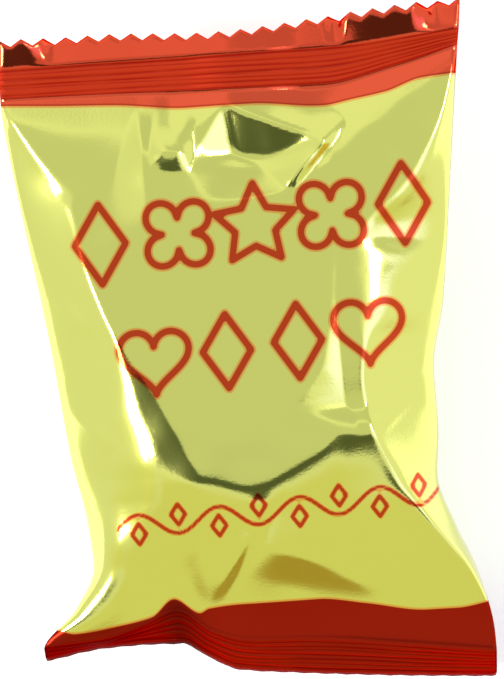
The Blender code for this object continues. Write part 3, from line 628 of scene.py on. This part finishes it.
def new_piece(name, points, faces, attributes):
    """A smooth-shaded mesh object with one float per point for each attribute."""
    mesh = bpy.data.meshes.new(name)
    mesh.from_pydata(points.tolist(), [], faces.tolist())
    for key, values in attributes.items():
        layer = mesh.attributes.new(key, "FLOAT", "POINT")
        layer.data.foreach_set("value", np.asarray(values, dtype=np.float32))
    mesh.shade_smooth()
    mesh.update()
    piece = bpy.data.objects.new(name, mesh)
    bpy.context.scene.collection.objects.link(piece)
    return piece


# ---------------------------------------------------------------- materials
def opaque(colour):
    """A colour with full opacity, as a node takes it."""
    return tuple(colour) + (1.0,)


class Nodes:
    """Short calls for building a node tree."""

    def __init__(self, tree):
        self.tree = tree
        tree.nodes.clear()

    def add(self, kind, inputs=(), **settings):
        """A node with its settings, and each input linked where a socket is given and set where a value is."""
        node = self.tree.nodes.new(kind)
        for key, value in settings.items():
            setattr(node, key, value)
        for key, value in dict(inputs).items():
            if isinstance(value, bpy.types.NodeSocket):
                self.tree.links.new(value, node.inputs[key])
            else:
                node.inputs[key].default_value = value
        return node

    def math(self, operation, a, b=0.0, clamp=False):
        """The outcome of one operation on two values."""
        return self.add("ShaderNodeMath", {0: a, 1: b}, operation=operation, use_clamp=clamp).outputs[0]

    def ramp(self, value, low, high, start=0.0, stop=1.0):
        """An S-shaped ramp from start, where the value is low, to stop, where it is high."""
        ends = {"Value": value, "From Min": low, "From Max": high, "To Min": start, "To Max": stop}
        return self.add("ShaderNodeMapRange", ends, interpolation_type="SMOOTHSTEP").outputs["Result"]

    def mix(self, factor, a, b, blend="MIX"):
        """Colour a, blended with colour b by a factor."""
        node = self.add("ShaderNodeMix", data_type="RGBA", blend_type=blend)
        for socket, value in (("Factor_Float", factor), ("A_Color", a), ("B_Color", b)):
            target = next(s for s in node.inputs if s.identifier == socket)
            if isinstance(value, bpy.types.NodeSocket):
                self.tree.links.new(value, target)
            else:
                target.default_value = value
        return next(s for s in node.outputs if s.identifier == "Result_Color")


def painted_groove_shade(n, place):
    """Share of painted shade in the grooves: narrow lines along each crimped band, each leaning and swaying a
    little with x, where rib_profile sinks them."""
    band_share = n.add("ShaderNodeAttribute", attribute_name="band_share").outputs["Fac"]
    x = n.add("ShaderNodeSeparateXYZ", {"Vector": place}).outputs["X"]
    noise = n.add("ShaderNodeTexNoise", {"Vector": place, "Scale": GROOVE_SHADE_PATCHES, "Detail": 2.0})
    patches = n.ramp(noise.outputs["Fac"], 0.25, 0.60, GROOVE_SHADE_LEAST, 1.0)
    lines = 0.0
    for k, (across, lean, width, depth) in enumerate(GROOVES):
        turn = n.math("MULTIPLY", x, GROOVE_TURN[0] + GROOVE_TURN[1] * k)
        sway = n.math("SINE", n.math("ADD", turn, GROOVE_START * k))
        swayed = n.math("ADD", n.math("MULTIPLY", sway, GROOVE_SWAY), across)
        middle = n.math("ADD", n.math("MULTIPLY", x, lean), swayed)
        off = n.math("ABSOLUTE", n.math("SUBTRACT", band_share, middle))
        lines = n.math("MAXIMUM", n.ramp(off, 0.0, width, depth, 0.0), lines)
    return n.math("MULTIPLY", lines, patches)


def film_material(colours):
    """Metal film under transparent inks: yellow-green with red ornament lines, and red past the print's edge,
    where a thin dark line runs beside a thin pale one. The red carries painted shade: darker in the crimped
    bands, darker still at the end seal and darkest where it folds, with painted shade in the grooves."""
    material = bpy.data.materials.new("printed_metal_film")
    material.use_nodes = True
    n = Nodes(material.node_tree)
    ink_edge = n.add("ShaderNodeAttribute", attribute_name="ink_edge").outputs["Fac"]
    ornament = n.add("ShaderNodeAttribute", attribute_name="ornament").outputs["Fac"]
    weld_and_shade = n.add("ShaderNodeAttribute", attribute_name="weld_and_shade").outputs["Fac"]
    red = n.ramp(ink_edge, -PRINT_EDGE, PRINT_EDGE)
    # Painted shade: the red darkens from the plain red to the bands' red, the end seal's red and the folds'
    # red.
    crimson = n.mix(n.ramp(weld_and_shade, 0.0, 1.0), opaque(colours.plain_ink), opaque(colours.band_ink_painted_shade))
    crimson = n.mix(n.ramp(weld_and_shade, 1.0, 2.0), crimson, opaque(colours.end_ink_painted_shade))
    crimson = n.mix(n.math("SUBTRACT", weld_and_shade, 2.0, clamp=True), crimson, opaque(colours.fold_painted_shade))
    halo = n.ramp(ornament, STROKE + HALO_EDGE[0] * HALO, STROKE + HALO_EDGE[1] * HALO, 1.0, 0.0)
    line = n.ramp(ornament, STROKE + LINE_EDGE[0], STROKE + LINE_EDGE[1], 1.0, 0.0)
    gold = n.mix(halo, opaque(colours.film_ink), opaque(colours.halo_ink))
    gold = n.mix(line, gold, opaque(colours.line_ink))
    pale_line = n.ramp(ink_edge, *PALE_LINE)
    gold = n.mix(pale_line, gold, opaque(colours.halo_ink))
    dark_line = n.ramp(ink_edge, *DARK_LINE, 1.0, 0.0)
    crimson = n.mix(n.math("MULTIPLY", dark_line, DARK_LINE_SHARE), crimson, opaque(colours.end_ink_painted_shade))
    place = n.add("ShaderNodeTexCoord").outputs["Object"]
    # Painted shade darkens the red along the crimped bands' grooves.
    crimson = n.mix(painted_groove_shade(n, place), crimson, opaque(colours.groove_painted_shade), "MULTIPLY")
    colour = n.mix(red, gold, crimson)
    glancing = n.mix(red, opaque((1.0, 1.0, 1.0)), crimson)
    grain = n.add("ShaderNodeTexNoise", {"Vector": place, "Scale": GRAIN_SCALE, "Detail": 2.0}).outputs["Fac"]
    bump = n.add("ShaderNodeBump", {"Height": grain, "Strength": GRAIN_STRENGTH, "Distance": GRAIN_DEPTH})
    crimped = n.math("MULTIPLY", n.ramp(weld_and_shade, 0.3, 1.0), red)
    rough = n.math("ADD", n.math("MULTIPLY", crimped, BAND_ROUGHNESS), FILM_ROUGHNESS)
    shader = n.add("ShaderNodeBsdfPrincipled", {"Base Color": colour, "Metallic": 1.0, "Roughness": rough,
                                                "Specular Tint": glancing, "Normal": bump.outputs["Normal"]})
    n.add("ShaderNodeOutputMaterial", {"Surface": shader.outputs["BSDF"]})
    return material


# ---------------------------------------------------------------- settings, operators and panel
def ink_property(name, description, default):
    """A colour property for one ink."""
    return FloatVectorProperty(name=name, description=description, default=default, subtype="COLOR", size=3,
                               min=0.0, max=1.0)


class PackColours(bpy.types.PropertyGroup):
    film_ink: ink_property("Film ink", "Transparent yellow-green ink over the metal film", (0.72, 0.75, 0.19))
    # Painted shade: the crimped band's red is painted darker than the plain red, for the shade of its tilted
    # ribs.
    band_ink_painted_shade: ink_property("Band ink", "Transparent red ink over the metal film at the seals",
                           (0.66, 0.050, 0.021))
    plain_ink: ink_property("Plain ink", "The red ink where the film is smooth", (0.76, 0.100, 0.044))
    line_ink: ink_property("Line ink", "Red ink of the ornament lines", (0.54, 0.060, 0.016))
    halo_ink: ink_property("Halo ink", "Orange where red and yellow inks thin out", (0.80, 0.42, 0.09))
    # Painted shade: how much a groove darkens the red ink.
    groove_painted_shade: ink_property("Groove tint", "What a groove leaves of the red ink's light", (0.60, 0.20, 0.28))
    # Painted shade: the darkest red, painted where the end seal folds.
    fold_painted_shade: ink_property("Fold ink", "The red ink where the end seal is folded on itself",
                           (0.13, 0.006, 0.003))
    # Painted shade: the same red ink as the top seal, painted darker for the shade that the end seal lies in.
    end_ink_painted_shade: ink_property("End ink", "The darker red ink of the end seal", (0.34, 0.016, 0.006))


class StudioSettings(bpy.types.PropertyGroup):
    camera_lens: FloatProperty(name="Lens", description="Focal length of the camera", default=200.0, min=20.0,
                               unit="CAMERA")
    camera_height: FloatProperty(name="Camera height", description="Camera above the pack's middle",
                                 default=0.534, min=0.1, unit="LENGTH")
    camera_roll: FloatProperty(name="Camera roll", description="Turn of the picture about the view",
                               default=np.radians(-3.6), unit="ROTATION")


class PACK_OT_film(bpy.types.Operator):
    """Makes the printed film of the pack, with its two crimped end seals"""
    bl_idname = "biscuit_pack.film"
    bl_label = "Printed film"

    def execute(self, context):
        rows, faces, upper_mark = join_grids(film_surface(+1), film_surface(-1))
        points = rows[:, :3]
        x, y, _, weld_and_shade, band_share = rows.T
        ink_edge = np.maximum(y - through(x, TOP_PRINT), through(x, END_PRINT) - y)
        ornament = np.where(upper_mark > 0.0, ornament_distance(x, y), NO_LINE)
        # Painted shade: the red darkens towards the end seal, more along its left arm and most round its kink.
        folded = ARM_PAINTED_SHADE * smooth_step(*ARM_SHADE_EDGES, x)
        folded = folded + KINK_PAINTED_SHADE * np.exp(-((x - KINK_SHADE_X) / KINK_SHADE_WIDTH) ** 2)
        weld_and_shade = np.maximum(weld_and_shade, (2.0 + folded) * smooth_step(*END_PAINTED_SHADE_Y, y))
        marks = {"ink_edge": ink_edge, "ornament": ornament, "weld_and_shade": weld_and_shade, "band_share": band_share}
        film = new_piece("printed_film", to_frame(points, points), faces, marks)
        film.data.materials.append(film_material(context.scene.pack_colours))
        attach(film, BODY)
        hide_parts(PACK_NODE)
        return {"FINISHED"}


class PACK_OT_back_seal(bpy.types.Operator):
    """Makes the long back seal, folded flat under the pack"""
    bl_idname = "biscuit_pack.back_seal"
    bl_label = "Back seal"

    def execute(self, context):
        film = bpy.data.objects.get("printed_film")
        if film is None:
            raise RuntimeError("Make the printed film first")
        box = film_surface(+1).reshape(-1, 5)[:, :3]
        points, faces, _ = folded_seal()
        far = np.full(len(points), NO_LINE)
        marks = {"ink_edge": -far, "ornament": far, "weld_and_shade": np.zeros(len(points)), "band_share": far}
        flap = new_piece("back_seal", to_frame(points, box), faces, marks)
        flap.data.materials.append(film.data.materials[0])
        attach(flap, BODY)
        return {"FINISHED"}


def world_light(world):
    """Radiance by direction: a mild ceiling inside a light ring that is brighter on one side, then the toned
    patches, each the product of a belt of heights and a sector of compass angles."""
    world.use_nodes = True
    n = Nodes(world.node_tree)
    place = n.add("ShaderNodeTexCoord").outputs["Generated"]
    x, y, z = n.add("ShaderNodeSeparateXYZ", {"Vector": place}).outputs
    flat = n.math("SQRT", n.math("ADD", n.math("MULTIPLY", x, x), n.math("MULTIPLY", y, y)))
    flat = n.math("MAXIMUM", flat, 0.0001)
    polar = n.math("MULTIPLY", n.math("ARCCOSINE", z), 180.0 / np.pi)

    def sector(azimuth, full, none):
        """1 within full degrees of a compass angle, 0 beyond none."""
        a, full, none = np.radians((azimuth, full, none))
        along = n.math("ADD", n.math("MULTIPLY", x, float(np.cos(a))), n.math("MULTIPLY", y, float(np.sin(a))))
        return n.ramp(n.math("DIVIDE", along, flat), float(np.cos(none)), float(np.cos(full)))

    def belt(start, full, fall=None, stop=None):
        """1 between two angles from straight up, with soft edges, or 1 from the first all the way down."""
        inside = n.ramp(polar, start, full)
        return inside if stop is None else n.math("MULTIPLY", inside, n.ramp(polar, fall, stop, 1.0, 0.0))

    ring = n.mix(sector(*BRIGHT_SECTOR), opaque(RING), opaque(BRIGHT_RING))
    colour = n.mix(n.ramp(polar, RING_START, RING_FULL), opaque(CEILING), ring)
    for angles, direction, tone in ROOM_PATCHES:
        patch = n.math("MULTIPLY", belt(*angles), sector(*direction))
        colour = n.mix(patch, colour, opaque(tone))
    background = n.add("ShaderNodeBackground", {"Color": colour, "Strength": 1.0})
    n.add("ShaderNodeOutputWorld", {"Surface": background.outputs["Background"]})


def softbox(name, azimuth, polar, size, radiance):
    """A rectangular area light aimed at the origin, given by compass angle and angle from straight up."""
    light = bpy.data.lights.new(name, "AREA")
    light.shape = "RECTANGLE"
    light.size, light.size_y = size
    light.energy = radiance * np.pi * size[0] * size[1]
    lamp = bpy.data.objects.new(name, light)
    a, p = np.radians((azimuth, polar))
    place = Vector((np.sin(p) * np.cos(a), np.sin(p) * np.sin(a), np.cos(p))) * BOX_DISTANCE
    lamp.location = place
    lamp.rotation_euler = (-place).to_track_quat("-Z", "Y").to_euler()
    lamp.visible_camera = False
    bpy.context.scene.collection.objects.link(lamp)


class PACK_OT_studio(bpy.types.Operator):
    """Makes the floor, the soft lights and the camera over the pack"""
    bl_idname = "biscuit_pack.studio"
    bl_label = "Studio"

    def execute(self, context):
        scene = context.scene
        studio = scene.pack_studio
        world = scene.world or bpy.data.worlds.new("studio")
        scene.world = world
        world_light(world)
        for box in SOFT_BOXES:
            softbox(*box)
        bpy.ops.mesh.primitive_plane_add(size=FLOOR_SIZE, location=(0.0, 0.0, FLOOR_Z))
        floor = context.object
        floor.name = "floor"
        paper = bpy.data.materials.new("floor_paper")
        paper.use_nodes = True
        finish = {"Base Color": FLOOR_COLOUR, "Emission Color": (1.0, 1.0, 1.0, 1.0),
                  "Emission Strength": FLOOR_GLOW, "Roughness": FLOOR_ROUGHNESS}
        for socket, value in finish.items():
            paper.node_tree.nodes["Principled BSDF"].inputs[socket].default_value = value
        floor.data.materials.append(paper)
        camera_data = bpy.data.cameras.new("camera")
        camera_data.lens = studio.camera_lens
        camera_data.sensor_width = SENSOR_WIDTH
        camera = bpy.data.objects.new("camera", camera_data)
        x, y, z = PACK_MIDDLE
        camera.location = (x, y, z + studio.camera_height)
        camera.rotation_euler = Euler((0.0, 0.0, studio.camera_roll))
        scene.collection.objects.link(camera)
        scene.camera = camera
        scene.view_settings.view_transform = "Standard"
        return {"FINISHED"}


class PACK_PT_panel(bpy.types.Panel):
    """Lists the pack's colours, the studio's settings and the operators"""
    bl_label = "Biscuit Pack"
    bl_idname = "PACK_PT_panel"
    bl_space_type = "VIEW_3D"
    bl_region_type = "UI"
    bl_category = "Biscuit Pack"

    def draw(self, context):
        layout = self.layout
        for group in (context.scene.pack_colours, context.scene.pack_studio):
            for key in group.__annotations__:
                layout.prop(group, key)
        for operator in OPERATORS:
            layout.operator(operator.bl_idname)


OPERATORS = (PACK_OT_film, PACK_OT_back_seal, PACK_OT_studio)
CLASSES = (PackColours, StudioSettings) + OPERATORS + (PACK_PT_panel,)


def register():
    for item in CLASSES:
        bpy.utils.register_class(item)
    bpy.types.Scene.pack_colours = PointerProperty(type=PackColours)
    bpy.types.Scene.pack_studio = PointerProperty(type=StudioSettings)


def unregister():
    del bpy.types.Scene.pack_studio
    del bpy.types.Scene.pack_colours
    for item in reversed(CLASSES):
        bpy.utils.unregister_class(item)


def main():
    register()
    bpy.ops.biscuit_pack.film()
    bpy.ops.biscuit_pack.back_seal()
    bpy.ops.biscuit_pack.studio()


if __name__ == "__main__":
    main()
